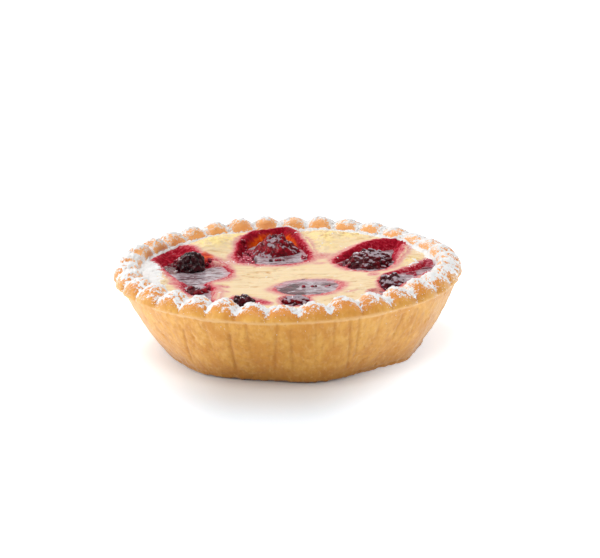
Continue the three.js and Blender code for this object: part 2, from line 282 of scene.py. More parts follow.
# Drupelets that came off: middle and spread of the heap, how many, their size, and 0 for dark to 1 for pink
LOOSE_DRUPELETS = [
    (-14.8, 18, 2.2, 4.2, 30, 1.05, 0.75),
    (-14.5, 26, 2, 5, 12, 0.9, 0.65),
    (5.5, 16, 1.4, 4, 9, 0.8, 0.5),
    (-2, 15, 5, 1.4, 5, 0.8, 0.3),
    (-40.5, 12, 2.6, 6, 14, 0.8, 0.3),
    (-28.4, 12.5, 1.6, 2.4, 5, 0.8, 0.35),
    (-27.5, -21, 3.4, 3, 12, 0.9, 0.4),
    (20.8, 8, 1.6, 3, 9, 0.8, 0.35),
    (48.8, 0.4, 2.2, 2.6, 16, 0.85, 0.9),
    (42, -10.5, 2.6, 2.2, 8, 0.8, 0.6),
    (6.5, -20, 2, 0.8, 4, 0.7, 0.4),
    (13.5, -20, 2, 0.8, 3, 0.7, 0.5),
]

# ---- The icing sugar ----

SUGAR_FALL = (0, 0.42, 0.91)  # it was sifted over the tart from behind
SUGAR_HOLD = 0.715  # how squarely a surface faces the fall before sugar stays on it
SUGAR_DEPTH = 0.36
SUGAR_UNDER = 0.25  # how far its underside lies below the surface that it covers
VALLEY_SUGAR = 0.85
VALLEY_HEAP = 0.8
JUNCTION_SUGAR = 1.3
JUNCTION_HEAP = 0.5
INNER_DUST = 0.42
SUGAR_DRIFTS = [(-85, 40, 0.24), (72, 24, 0.24), (-30, 16, 0.08), (180, 60, 0.06)]  # place, width, extra
FILLING_DRIFTS = [  # ovals
    (-48.6, -1, 5.6, 21, 10), (48, -10, 4.5, 13, 28), (52, 12, 3.4, 13, -10), (-41, -28, 4, 5, 40),
]
RIM_GRAINS = 9000
FILLING_GRAINS = 3400
GRAIN_SIDES = [(-80, 0.9), (85, 0.7)]  # where most of the rim's lie, in degrees, and how widely, in radians
GRAIN_SIZE = (0.06, 0.19)
GRAIN_SCATTER = 0.16

# ---- Fineness of the meshes ----

BASE_EDGE_TURNS_DEG = (25, 50, 75)
LOBE_STEPS = 20
WALL_ROWS = 44
RIM_ROWS = 34
UNDERSIDE_ROWS = 12
CUP_ROWS = 5
FILLING_CELLS = 270
# The rows of the case on which grains lie, from near the top of the wall to the inside of the rim
GRAIN_ROWS = slice(UNDERSIDE_ROWS + WALL_ROWS - 6, UNDERSIDE_ROWS + WALL_ROWS + RIM_ROWS + 3)
SUGAR_LOBE_STEPS = 34
SUGAR_ROWS = 53
BERRY_FINENESS = 6
DRUPELET_FINENESS = 3

# ---- Floor, light and camera, in metres ----

FLOOR_HALF = 6
GLOW_MIDDLE_X = -0.007
GLOW_BESIDE = (0.01, 0.056, 0, 0.56)  # from and to what distance the glow changes, and its strength there
GLOW_AWAY = (0.055, 0.12, 0, 0.6)
ROOM_SHADE = (-0.8, 0.3, 0.25, 0.8)  # the same for how bright the room is, from its front to its back
ROOM_TURN_DEG = -25  # which turns its bright side to the left
LIGHT_AIM = (0, 0, 0.02)
SOFT_BOXES = [  # name, place, sides and watts
    ("left_soft", (-0.65, 0, 0.22), (0.2, 0.2), 0.9),
    ("right_soft", (0.65, 0.05, 0.25), (0.2, 0.2), 0.04),
    ("back_high", (-0.15, 0.6, 0.5), (0.12, 0.07), 1.3),
]
SUNS = [  # name, the direction that it shines from, spread in degrees and strength
    ("top_back", (0.05, 0.35, 1), 60, 0.15),
    ("top_front", (-0.06, -0.42, 1), 25, 0.93),
]
CAMERA_PLACE = (0, -0.5121, 0.1713)
CAMERA_AIM = (0.00392, 0, 0.0209)
CAMERA_ROLL_DEG = -1.5
CAMERA_LENS = 92.1
CAMERA_SENSOR = 36
CAMERA_FARTHEST = 20


# ---- Plain mathematics ----

def hump(distance, width):
    """1 at no distance, falling to about a third at a distance of width."""
    return np.exp(-((distance / width) ** 2))


def rise(value, low, high):
    """0 below low, 1 above high, and a smooth climb between."""
    share = np.clip((value - low) / (high - low), 0, 1)
    return share * share * (3 - 2 * share)


def lerp(start, end, share):
    return start + (end - start) * share


def angle_between(start, end):
    """The angle from one direction to another, the short way round."""
    return (end - start + math.pi) % TAU - math.pi


def swells(angle, places):
    """The sum of humps round the tart, each a place and width in degrees and a height."""
    return sum(
        height * hump(angle_between(math.radians(at), angle), math.radians(width))
        for at, width, height in places
    )


def around(radius, angle, height):
    """Points at a radius, angle and height."""
    return np.stack([radius * np.sin(angle), -radius * np.cos(angle), height + 0 * angle], axis=-1)


def up(height):
    """A step up by a height, for each point."""
    return np.asarray(height)[..., None] * (0, 0, 1)


def from_axis(points):
    return np.hypot(points[..., 0], points[..., 1])


def cell_value(cell, seed):
    """A fixed chance number from -1 to 1 for each cell of a lattice."""
    mixed = cell[..., 0] * 374761393 + cell[..., 1] * 668265263 + cell[..., 2] * 1442695041
    mixed = (mixed + seed * 1013904223) & 0xFFFFFFFF
    mixed = ((mixed ^ (mixed >> 13)) * 1274126177) & 0xFFFFFFFF
    return ((mixed ^ (mixed >> 16)) & 0xFFFF) / 32767.5 - 1


def lumps(points, size, seed):
    """Smooth chance lumps from -1 to 1, about size across. Size is a number, or one for each axis."""
    place = points / np.asarray(size, float)
    cell = np.floor(place).astype(np.int64)
    inner = place - cell
    inner = inner * inner * (3 - 2 * inner)
    total = np.zeros(points.shape[:-1])
    for corner in product((0, 1), repeat=3):
        corner = np.array(corner)
        share = np.prod(np.where(corner, inner, 1 - inner), axis=-1)
        total += share * cell_value(cell + corner, SEED + seed)
    return total


def roughness(points, size, seed, octaves=3):
    """Lumps on lumps, each half the size and half the height of those below."""
    size = np.asarray(size, float)
    layers = [0.5 ** k * lumps(points, size * 0.5 ** k, seed + k) for k in range(octaves)]
    return sum(layers) / sum(0.5 ** k for k in range(octaves))


def smooth_outline(corners, steps=5):
    """A closed curve through the corners."""
    here = np.array(corners, float)
    before, after, beyond = (np.roll(here, -shift, axis=0) for shift in (-1, 1, 2))
    curve = []
    for share in np.arange(steps) / steps:
        curve.append(0.5 * (
            2 * here
            + (after - before) * share
            + (2 * before - 5 * here + 4 * after - beyond) * share ** 2
            + (3 * here - before - 3 * after + beyond) * share ** 3
        ))
    return np.stack(curve, axis=1).reshape(-1, 2)


def outline_distance(points, outline):
    """How far each point is from a closed outline, below zero inside it."""
    edge = np.roll(outline, -1, axis=0) - outline
    offset = points[..., None, :2] - outline
    along = np.clip((offset * edge).sum(-1) / (edge * edge).sum(-1), 0, 1)
    nearest = np.linalg.norm(offset - along[..., None] * edge, axis=-1).min(-1)
    upward = (offset[..., 1] < 0) != (offset[..., 1] < edge[:, 1])
    steep = np.where(edge[:, 1] == 0, 1e-9, edge[:, 1])
    crossed = upward & (offset[..., 0] < offset[..., 1] * edge[:, 0] / steep)
    return np.where(crossed.sum(-1) % 2 == 1, -nearest, nearest)


def oval_reach(points, oval):
    """How far out each point is in an oval: 0 in its middle and 1 at its edge."""
    x, y, across, along, turn_deg = oval
    turn = math.radians(turn_deg)
    u = (points[..., 0] - x) * math.cos(turn) + (points[..., 1] - y) * math.sin(turn)
    v = (points[..., 1] - y) * math.cos(turn) - (points[..., 0] - x) * math.sin(turn)
    return np.hypot(u / across, v / along)


def in_ovals(points, ovals, full, none, wander=0):
    """1 where the nearest oval's reach is under full, falling to 0 where it is over none."""
    return 1 - rise(np.min([oval_reach(points, oval) for oval in ovals], axis=0) + wander, full, none)


# ---- Meshes ----

def grid_normals(points):
    """The outward direction at each point of a grid of rows whose ends meet."""
    across = np.roll(points, -1, axis=1) - np.roll(points, 1, axis=1)
    normal = np.cross(across, np.gradient(points, axis=0))
    return normal / np.maximum(np.linalg.norm(normal, axis=-1, keepdims=True), 1e-9)


def grid_faces(rows, columns, closed):
    """Four-sided faces over a grid of points, round to the first column again where it is closed."""
    index = np.arange(rows * columns).reshape(rows, columns)
    right = np.roll(index, -1, axis=1)
    faces = np.stack([index[:-1], right[:-1], right[1:], index[1:]], axis=-1)
    if not closed:
        faces = faces[:, :-1]
    return faces.reshape(-1, 4)


def repeated(faces, times, count):
    """The faces of several like shapes of count points each."""
    return faces + (np.arange(times) * count)[:, None, None]


def fan(pole, ring):
    """Triangles from a pole to a ring of points."""
    return [(pole, b, a) for a, b in zip(ring, np.roll(ring, -1))]


def new_object(name, data):
    made = bpy.data.objects.new(name, data)
    bpy.context.scene.collection.objects.link(made)
    return made


def make_piece(name, points, faces, layers, material, slot, *nodes):
    """A piece from points in mm, which stands for the nodes. Its layers are numbers for its points, and 0
    for points past their end."""
    mesh = bpy.data.meshes.new(name)
    mesh.from_pydata((points.reshape(-1, 3) * MM).tolist(), [], [list(face) for face in faces])
    for layer, values in layers.items():
        numbers = np.zeros(len(mesh.vertices), np.float32)
        numbers[:np.size(values)] = np.ravel(values)
        mesh.attributes.new(layer, "FLOAT", "POINT").data.foreach_set("value", numbers)
    mesh.polygons.foreach_set("use_smooth", np.ones(len(mesh.polygons), bool))
    mesh.materials.append(material)
    mesh.update()
    made = new_object(name, mesh)
    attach(made, "root")
    if nodes:
        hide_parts(*nodes)


def shell_faces(mask, faces, count):
    """The faces of a closed shell between two grids of count points, over the faces that mask keeps."""
    top = faces[mask]
    below = top[:, ::-1] + count
    edges = np.stack([top, np.roll(top, -1, axis=1)], axis=-1).reshape(-1, 2)
    there = {(a, b) for a, b in edges.tolist()}
    rims = [(b, a, a + count, b + count) for a, b in edges.tolist() if (b, a) not in there]
    return np.concatenate([top, below, np.array(rims, int).reshape(-1, 4)])


def shell(top, bottom, mask, faces, layers):
    """The points, faces and layers of a closed shell between two grids, over the faces that mask keeps."""
    points = np.concatenate([top.reshape(-1, 3), bottom.reshape(-1, 3)])
    faces = shell_faces(mask, faces, len(points) // 2)
    used, renumbered = np.unique(faces, return_inverse=True)
    kept = {layer: np.tile(np.ravel(values), 2)[used] for layer, values in layers.items()}
    return points[used], renumbered.reshape(faces.shape), kept


# ---- The pastry case ----

def lobe_edge(number):
    """The angle at which a lobe begins."""
    pitch = TAU / LOBE_COUNT
    waves = sum(
        math.radians(swing) * np.sin(turns * number * pitch + math.radians(phase))
        for turns, swing, phase in SPACING_WAVES
    )
    return math.radians(FIRST_LOBE_DEG) + (number - 0.5) * pitch + waves


def rim_columns(steps):
    """The angle of each column of the case, how much of a full lobe's section it has, and how near it is to
    a valley, from 0 in the middle of a lobe to 1."""
    number, step = np.divmod(np.arange(LOBE_COUNT * steps), steps)
    even = step / steps
    share = lerp(even, 0.5 - 0.5 * np.cos(math.pi * even), 0.4)  # closer together in the valleys
    slow, quick = LOBE_SIZE_BEATS
    size = 1 + LOBE_SIZE_SWING * np.sin(slow * number) * np.cos(quick * number)
    size -= swells(lobe_edge(number + 0.5), LOW_LOBES)
    dip = np.abs(2 * share - 1) ** LOBE_FULLNESS
    return lerp(lobe_edge(number), lobe_edge(number + 1), share), size * (1 - dip), dip


def unevenness(angle):
    return 1 + sum(swing * np.sin(turns * angle + phase) for turns, swing, phase in OUTLINE_WAVES)


def wall_radius(angle, share):
    """The outside radius of the wall, from its base edge (share 0) to the seam (share 1)."""
    cone = lerp(BASE_RADIUS + swells(angle, BASE_CORNERS), SEAM_RADIUS, share)
    flare = LEFT_FLARE * share * np.maximum(-np.sin(angle), 0)
    return cone + flare + WALL_BELLY * np.sin(math.pi * share) + WALL_SHIFT * np.sin(angle)


def rim_point(share, lobe):
    """Radius and height on the rim, from its outside (share 0) over the ridge to its inside (share 1)."""
    turn = share * math.pi
    outer = RIM_OUTER_RADIUS - VALLEY_OUTER_PINCH * (1 - lobe)
    inner = RIM_INNER_RADIUS + VALLEY_INNER_PINCH * (1 - lobe)
    top = lerp(VALLEY_RISE, RIM_TOP_HEIGHT - RIM_BASE_HEIGHT, lobe)
    radius = (outer + inner) / 2 + (outer - inner) / 2 * np.cos(turn) - LOBE_LEAN * lobe * np.sin(turn)
    return radius, RIM_BASE_HEIGHT + top * np.maximum(np.sin(turn), 0) ** SECTION_FULLNESS


def rim_rows(columns, rows, first, last):
    """Rows of the rim's rounded surface: radius, height and the section's share of each."""
    angle, lobe, _ = columns
    shares = np.linspace(first, last, rows)
    uneven = unevenness(angle)
    sections = [rim_point(share, lobe) for share in shares]
    return [(radius * uneven, height, share) for (radius, height), share in zip(sections, shares)]


def cup_radius(height):
    return lerp(BASE_RADIUS - WALL_THICKNESS, RIM_INNER_RADIUS, height / RIM_BASE_HEIGHT)


def wall_creases(angle, share):
    """How deep the creases cut into the wall: those of the front, and chance ones on the rest of it."""
    rng = np.random.default_rng(SEED)
    creases = list(WALL_CREASES)
    for _ in range(CHANCE_CREASES):
        at = rng.uniform(*CHANCE_CREASE_RANGE_DEG)
        foot = rng.uniform(0.1, 0.7)
        creases.append((at, rng.uniform(0.8, 1), at + rng.normal(0, 2), foot, rng.uniform(0.05, 0.2), 0.8))
    cut = np.zeros(np.broadcast(angle, share).shape)
    for top_deg, top, foot_deg, foot, depth, width in creases:
        way = np.clip((top - share) / (top - foot), 0, 1)
        middle = np.radians(lerp(top_deg, foot_deg, way))
        ends = rise(share, foot - 0.12, foot + 0.05) * (1 - rise(share, top - 0.02, top + 0.03))
        cut += depth * hump(angle_between(middle, angle) * SEAM_RADIUS, width) * ends
    return cut


def grid_of_rows(angle, rows):
    """A grid of points from rows that begin with a radius and a height, and grids of what follows."""
    radius, height, *others = (np.array([part + 0 * angle for part in parts]) for parts in zip(*rows))
    return around(radius, angle, height), *others


def case_grid(columns):
    """The case as a grid of points, and their shares of the rim's section and of the wall's height."""
    angle = columns[0]
    foot, seam = wall_radius(angle, 0), wall_radius(angle, 1)
    rows = [(reach * (foot - BASE_EDGE_ROUND), 0, 0, 0) for reach in np.linspace(0.05, 1, UNDERSIDE_ROWS)]
    for turn in np.radians(BASE_EDGE_TURNS_DEG):
        inset = BASE_EDGE_ROUND * (1 - math.sin(turn))
        rows.append((foot - inset, BASE_EDGE_HEIGHT * (1 - math.cos(turn)), 0, 0))
    for share in np.linspace(0, 1, WALL_ROWS):
        rows.append((wall_radius(angle, share), lerp(BASE_EDGE_HEIGHT, SEAM_HEIGHT, share), 0, share))
    rows.append((seam + 0.75 * SEAM_LIP, SEAM_HEIGHT + 0.1, 0, 1))
    rows.append((seam + SEAM_LIP, SEAM_HEIGHT + 0.4, 0, 1))
    rows += [(*row, 1) for row in rim_rows(columns, RIM_ROWS, 0.01, 1)]
    for height in np.linspace(RIM_BASE_HEIGHT - 1, FLOOR_THICKNESS, CUP_ROWS):
        rows.append((cup_radius(height), height, 1, 1))
    return grid_of_rows(angle, rows)


def case_relief(points, angle, wall_share, rim_share):
    """How far the surface stands out from the plain one: creases, swellings, grain, pits and crumbs."""
    on_wall = rise(wall_share, 0, 0.05) * (rim_share == 0)
    grain = 0.16 * roughness(points, 1.6, 1) + 0.1 * lumps(points, 0.7, 5)
    pits = -0.3 * rise(lumps(points, 1.3, 8), 0.55, 0.85)
    swelling = 0.45 * roughness(points, (9, 9, 14), 11, 2)
    crumble = 0.5 * roughness(points, (2.2, 2.2, 1.2), 15, 2) * (1 - rise(points[..., 2], 0.5, 3))
    return grain + pits + on_wall * (swelling - wall_creases(angle, wall_share)) + crumble


def crust_surface():
    """The baked case's points, with layers for its material: each is 1 where its colour is at its full."""
    columns = rim_columns(LOBE_STEPS)
    angle, _, dip = columns
    points, rim_share, wall_share = case_grid(columns)
    relief = case_relief(points, angle, wall_share, rim_share)
    underside = points[..., 2] < 0.01
    points = points + grid_normals(points) * (relief * (rim_share < 1))[..., None]
    points[..., 2] = np.where(underside, np.maximum(0, 0.2 * relief), np.maximum(points[..., 2], 0.02))
    # painted shade: the creases and the outsides of the valleys are coloured darker, the more the deeper
    # they are
    shaded_creases = wall_creases(angle, wall_share) * (rim_share == 0)
    shaded_creases += VALLEY_SHADE * dip ** 4 * rise(rim_share, 0, 0.06) * (1 - rise(rim_share, 0.25, 0.45))
    sugared = sugar_cover(points, grid_normals(points), angle, dip, rim_share)
    sugared += INNER_DUST * rise(rim_share, 0.5, 0.8)
    return points, {
        "sugar": np.clip(0.5 + 0.5 * sugared, 0, 1) * rise(rim_share, 0, 0.05),
        "crease_shade": np.clip(shaded_creases / CREASE_DEEPEST, 0, 1),
        "bloom": rise(rim_share, 0.05, 0.3),
        "inner": rise(rim_share, 0.42, 0.6),
        # painted highlight: a paler line along the seam's ledge
        "seam": (wall_share == 1) * (1 - rise(rim_share, 0, 0.03)),
        # darker towards the foot of the wall: partly browner baking, partly painted shade
        "foot": 1 - rise(points[..., 2], 0, 9),
    }


def make_crust(points, layers):
    rows, columns = points.shape[:2]
    index = np.arange(rows * columns).reshape(rows, columns)
    faces = grid_faces(rows, columns, True).tolist()
    faces += fan(rows * columns, index[0])
    faces += fan(rows * columns + 1, index[-1, ::-1])
    poles = [(0, 0, 0.05), (0, 0, FLOOR_THICKNESS)]
    points = np.concatenate([points.reshape(-1, 3), poles])
    make_piece("crust_baked", points, faces, layers, pastry_material(), "pastry", "crust")


# ---- The filling ----

def hollow_distances(points):
    """How far each point is from each hollow's outline, which is a little ragged."""
    ragged = points.copy()
    ragged[..., 0] += OUTLINE_WANDER * roughness(points, 2.6, 31)
    ragged[..., 1] += OUTLINE_WANDER * roughness(points, 2.6, 41)
    return {
        name: outline_distance(ragged, smooth_outline(hollow.outline)) for name, hollow in HOLLOWS.items()
    }


def nearest_hollow(distances):
    return np.min(list(distances.values()), axis=0)


def far_share(points, hollow, low=0.4, high=0.9):
    """0 over the near part of a hollow, rising to 1 at its far end."""
    along = [y for _, y in hollow.outline]
    near, far = min(along), max(along)
    return rise(points[..., 1], lerp(near, far, low), lerp(near, far, high))


def hollow_drop(points, distance, hollow):
    """How far a hollow lowers the filling. The width of its wall changes towards its far end."""
    return hollow.depth * rise(-distance, 0, lerp(hollow.wall, hollow.far_wall, far_share(points, hollow)))


def bulge_hills(points):
    """How near each point is to the middle of each bulge, from 1 there to 0."""
    return [hump(oval_reach(points, oval), 1) for oval, _ in BULGES]


def cream_creases(flat):
    """Fine folds in the skin of the cream, from side to side."""
    folds = sum(
        hump(roughness(flat, size, seed, 2), FOLD_WIDTH)
        for size, seed in (((16, 3.2, 1), 301), ((9, 2.2, 1), 311))
    )
    return folds * rise(lumps(flat, (15, 9, 1), 321), -0.3, 0.3)


def filling_height(points, distances):
    """The height of the filling's top."""
    share = from_axis(points) / RIM_INNER_RADIUS
    swell = FILLING_SWELL * hump(share - SWELL_AT, SWELL_WIDTH)
    height = FILLING_MIDDLE_HEIGHT + np.maximum(swell, FILLING_EDGE_RISE * share ** EDGE_POWER)
    hills = bulge_hills(points)
    height += sum(risen * hill for (_, risen), hill in zip(BULGES, hills))
    drop = np.zeros_like(height)
    for name, hollow in HOLLOWS.items():
        lip = hollow.lip * lerp(0.2, 1, far_share(points, hollow))
        height += lip * hump(distances[name] - 0.3, hollow.lip_width)
        drop = np.maximum(drop, hollow_drop(points, distances[name], hollow))
    flat = points * (1, 1, 0)
    skin = 0.2 * roughness(flat, (9, 1.8, 1), 51) + 0.1 * roughness(flat, 1.4, 55)
    skin -= FOLD_DEPTH * cream_creases(flat) * (drop < 0.1)
    skin += 0.5 * roughness(flat, 1.3, 57) * np.clip(sum(hills), 0, 1)
    slope = np.stack([points[..., 0], points[..., 1], height - drop], axis=-1)
    mush = (0.5 * roughness(slope, 1.5, 61) + 0.25 * lumps(slope, 0.8, 65)) * rise(drop, 0.1, 1.5)
    return height - drop + skin + mush - BRIM_DROP * rise(share, 0.985, 1.01)


def stained(points, distances):
    """How deep the juice has soaked in: 0 for clean cream, 1 for dark crimson."""
    flat = points * (1, 1, 0)
    wander = 0.6 * roughness(points, 2.2, 71) + 0.4 * lumps(points, 0.8, 75)
    uneven = 1 + 0.5 * lumps(flat, 8, 79)
    mottled = 0.2 * roughness(points, (1.6, 1.6, 0.8), 73)
    stain = np.zeros(points.shape[:-1])
    for name, hollow in HOLLOWS.items():
        outside = distances[name] + wander * lerp(1, 0.35, rise(distances[name], -0.3, 1.2))
        far = far_share(points, hollow, 0.02, 0.3)
        edge = lerp(*hollow.soak, far)
        soaked = lerp(edge, hollow.deep, rise(-outside, 0, 3)) + mottled
        halo = edge * np.exp(-np.maximum(outside, 0) / (lerp(*hollow.spread, far) * uneven))
        stain = np.maximum(stain, np.where(outside < 0, soaked, halo))
    for oval, paler in WALL_SHADES:
        stain -= paler * in_ovals(flat, [oval], 0.3, 1.2) * (stain > paler)
    for oval, strength in BLEEDS:
        patch = in_ovals(flat, [oval], 0.2, 1.25, 0.22 * roughness(flat, (3, 2, 1), 77))
        stain = np.maximum(stain, strength * patch)
    return stain


def filling_layers(points, distances):
    """Layers for the filling's material: each is 1 where its colour is at its full."""
    flat = points * (1, 1, 0)
    outside = nearest_hollow(distances)
    depth = 0.8 * roughness(flat, 2, 87) - outside
    amber = sum(
        strength * in_ovals(points, [oval], 0.6, 1.1) * rise(depth + spill, 0, 1.5)
        for oval, strength, spill in AMBER_PATCHES
    )
    dusting = rise(from_axis(points) + 1.5 * roughness(flat, 3, 81), 47.5, 51)
    strip = in_ovals(points, [DUSTED_STRIP], 0.5, 1.15, 0.5 * roughness(flat, (3, 1.2, 1), 85))
    tinted = in_ovals(points, [TINTED_SUGAR], 0.3, 1.1, 0.3 * roughness(flat, (2, 1, 1), 89))
    dust = np.maximum.reduce([dusting, strip, TINTED_STRENGTH * tinted])
    return {
        "stain": stained(points, distances),
        "golden": np.clip(sum(bulge_hills(points)), 0, 1),
        "amber": np.clip(amber, 0, 1),
        "dust": dust * rise(outside, 0, 1.5),
        # painted shade: the folds in the cream's skin are coloured brown
        "crease_shade": cream_creases(flat) * (outside > 0.5),
    }


def filling_grid():
    """The filling's top, a square grid bent into a disc, and the distances from the hollows' outlines."""
    side = np.linspace(-1, 1, FILLING_CELLS)
    across, along = np.meshgrid(side, side)
    x = across * np.sqrt(1 - along ** 2 / 2)
    y = along * np.sqrt(1 - across ** 2 / 2)
    size = FILLING_EDGE_RADIUS * unevenness(np.arctan2(x, -y))
    points = np.stack([x * size, y * size, 0 * x], axis=-1)
    distances = hollow_distances(points)
    points[..., 2] = filling_height(points, distances)
    return points, distances


def border_indices(count):
    """The border points of a square grid, in order round it."""
    index = np.arange(count * count).reshape(count, count)
    return np.concatenate([index[0, :-1], index[:-1, -1], index[-1, :0:-1], index[:0:-1, 0]])


def make_filling(points, distances):
    """The filling's top, with rings of points below its border down to its flat underside."""
    top = points.reshape(-1, 3)
    border = border_indices(FILLING_CELLS)
    faces = grid_faces(FILLING_CELLS, FILLING_CELLS, False).tolist()
    rings = [top]
    upper = border
    for k, height in enumerate(FILLING_SIDE_HEIGHTS):
        shrink = (cup_radius(height) - FILLING_SIDE_GAP) / FILLING_EDGE_RADIUS
        rings.append(top[border] * (shrink, shrink, 0) + (0, 0, height))
        lower = len(top) + k * len(border) + np.arange(len(border))
        faces += np.stack([lower, np.roll(lower, -1), np.roll(upper, -1), upper], axis=-1).tolist()
        upper = lower
    faces += fan(upper[-1] + 1, upper)
    everything = np.concatenate([*rings, [(0, 0, FILLING_FLOOR)]])
    layers = filling_layers(points, distances)
    make_piece("filling_baked", everything, faces, layers, cream_material(), "cream", "filling")


def make_syrup(points, distances):
    """The juice that stands in the hollows: a level rippled pool in each, ending inside the filling."""
    flat = points * (1, 1, 0)
    level = np.full(points.shape[:2], -1.0)  # below the tart where there is no syrup
    for name, hollow in HOLLOWS.items():
        level = np.where(distances[name] < SYRUP_MARGIN, np.maximum(level, hollow.level), level)
    ripple = 0.12 * roughness(flat, (5, 3, 1), 91, 2) + 0.05 * lumps(flat, 1.2, 95)
    surface = level + ripple - SYRUP_SINK * in_ovals(flat, SUNK_SYRUP, 0.7, 1.2)
    under = np.minimum(points[..., 2], surface) - SYRUP_UNDER
    faces = grid_faces(FILLING_CELLS, FILLING_CELLS, False)
    in_pool = level.ravel() > 0
    wet = (surface > points[..., 2] - 0.25).ravel() & in_pool
    mask = wet[faces].any(axis=1) & in_pool[faces].all(axis=1)
    pools = shell(flat + up(surface), flat + up(under), mask, faces, {
        # where this is high, less painted reflection is laid on the syrup
        "clear": in_ovals(flat, REFLECTION_GAPS, 0.6, 1.2, 0.3 * roughness(flat, 1.5, 97)),
        "shore": rise(nearest_hollow(distances) + 0.5 * roughness(flat, 2, 99), -3.6, -0.5),
    })
    make_piece("syrup", *pools, syrup_material(), "glaze")


# ---- The berries ----

def ball_directions(fineness):
    """Directions spread over a ball, with the faces between them."""
    ball = bmesh.new()
    bmesh.ops.create_icosphere(ball, subdivisions=fineness, radius=1)
    directions = np.array([point.co for point in ball.verts])
    faces = np.array([[point.index for point in face.verts] for face in ball.faces])
    ball.free()
    return directions, faces


def spiral_directions(count):
    """Directions spread evenly over a ball in a spiral."""
    height = 1 - (2 * np.arange(count) + 1) / count
    turn = np.arange(count) * GOLDEN_ANGLE
    ring = np.sqrt(1 - height ** 2)
    return np.stack([ring * np.cos(turn), ring * np.sin(turn), height], axis=-1)


def drupelet_reach(directions, half, drupelet, rng):
    """How far a berry reaches in each direction over its drupelets, as a share of its half size, and which
    drupelet lies there."""
    radius = drupelet / np.prod(half) ** (1 / 3)
    core = 1 - radius
    count = int(DRUPELET_CROWDING * core ** 2 / radius ** 2)
    middles = spiral_directions(count) + rng.normal(0, 0.4 * radius, (count, 3))
    middles *= core * rng.uniform(0.82, 1.05, (count, 1)) / np.linalg.norm(middles, axis=-1, keepdims=True)
    radii = radius * rng.uniform(0.8, 1.25, count)
    along = directions @ middles.T
    inside = radii ** 2 - (middles ** 2).sum(-1) + along ** 2
    reach = np.where(inside > 0, along + np.sqrt(np.maximum(inside, 0)), 0)
    blended = (reach ** GROOVE_SHARPNESS).sum(-1) ** (1 / GROOVE_SHARPNESS)
    return np.maximum(blended, core), reach.argmax(axis=-1) / count


def torn_reach(directions, reach, cuts, rng):
    """The reach where pieces are torn off: flat faces cut across it at chance angles in its upper half."""
    for _ in range(cuts):
        facing = rng.normal(0, 1, 3) + (0, -0.6, 0.9)
        facing /= np.linalg.norm(facing)
        reach = np.minimum(reach, rng.uniform(*CUT_REACH) / np.maximum(directions @ facing, 0.05))
    return reach


def berry_normals(points, faces):
    """The outward direction at each point of a mesh of triangles."""
    corners = points[faces]
    across = np.cross(corners[:, 1] - corners[:, 0], corners[:, 2] - corners[:, 0])
    normals = np.zeros_like(points)
    for k in range(3):
        np.add.at(normals, faces[:, k], across)
    return normals / np.linalg.norm(normals, axis=-1, keepdims=True)


def make_berry(name, ball):
    berry = BERRIES[name]
    directions, faces = ball
    rng = np.random.default_rng(SEED + sum(map(ord, name)))
    reach, which = drupelet_reach(directions, berry.half, berry.drupelet, rng)
    points = directions * torn_reach(directions, reach, berry.torn, rng)[:, None] * berry.half
    rough = 0.22 + 0.05 * berry.torn
    points += directions * (rough * roughness(points + 7 * rng.random(3), 1.2, 101))[:, None]
    points *= 1 + 0.13 * lumps(points + 7 * rng.random(3), 5, 111)[:, None]
    points[:, :2] *= 1 - berry.taper * points[:, 2:] / berry.half[2]
    turn = Matrix.Rotation(math.radians(berry.turn_deg), 3, "Z")
    points = points @ np.array(turn).T + berry.middle
    # painted reflection: the upward-facing parts are coloured lilac-grey
    patches = 0.8 * berry_normals(points, faces)[:, 2] + 0.5 * roughness(points, 2.2, 117)
    layers = {
        # painted shade: the grooves between the drupelets are coloured darker
        "groove_shade": 1 - rise(reach, 0.78, 0.95),
        "which": which * 7 % 1,
        "painted_reflection": rise(patches + berry.painted_reflection, 0.62, 0.7),
        "redness": np.full(len(points), berry.redness),
    }
    node = "berry_" + name
    slot = "red_berry" if berry.redness > 0.7 else "dark_berry"
    make_piece(node + "_cooked", points, faces, layers, berry_material(), slot, node)


def make_loose_drupelets(ball):
    """Drupelets that came off the berries and lie in the hollows, joined in one mesh."""
    directions, faces = ball
    rng = np.random.default_rng(SEED)
    points, tints = [], []
    for x, y, across, along, count, size, tint in LOOSE_DRUPELETS:
        middles = rng.normal(0, 0.5, (count, 3)) * (across, along, 0) + (x, y, 0)
        distances = hollow_distances(middles)
        levels = [np.where(distances[name] < 0, hollow.level, 0) for name, hollow in HOLLOWS.items()]
        ground = np.maximum(filling_height(middles, distances), np.max(levels, axis=0))
        middles[:, 2] = ground + rng.uniform(-0.3, 0.3, count) * size
        for middle in middles:
            squash = size * rng.uniform(0.6, 1.15, 3) * (1, 1, 0.8)
            lump = directions * (1 + 0.22 * lumps(directions + 9 * rng.random(3), 0.8, 171))[:, None]
            points.append(lump * squash + middle)
            tints.append(np.full(len(lump), tint + rng.uniform(-0.25, 0.15)))
    faces = repeated(faces, len(points), len(directions)).reshape(-1, 3)
    layers = {"tint": np.concatenate(tints)}
    make_piece("drupelets_loose", np.concatenate(points), faces, layers, drupelet_material(), "red_berry")


# ---- The icing sugar ----

def facing_fall(normals):
    """How squarely a surface faces the falling sugar: 1 for squarely, and below 0 for away from it."""
    return normals @ (np.array(SUGAR_FALL) / np.linalg.norm(SUGAR_FALL))


def sugar_cover(points, normals, angle, dip, rim_share):
    """How thickly the sugar lies, from 0 where it begins to 1, and below 0 where there is none. More of it
    lies in the valleys, and more slid down to the inner foot of the rim."""
    valley = VALLEY_SUGAR * dip ** 2 * rise(rim_share, 0.1, 0.35)
    junction = JUNCTION_SUGAR * rise(rim_share, 0.86, 0.97)
    clumps = 0.8 * roughness(points, 2.2, 121) + 0.6 * lumps(points, 0.8, 125)
    bare_specks = 1.2 * rise(lumps(points, 0.6, 127), 0, 0.6)
    held = facing_fall(normals) - SUGAR_HOLD + swells(angle, SUGAR_DRIFTS) + valley + junction
    return 2 * held + clumps - bare_specks


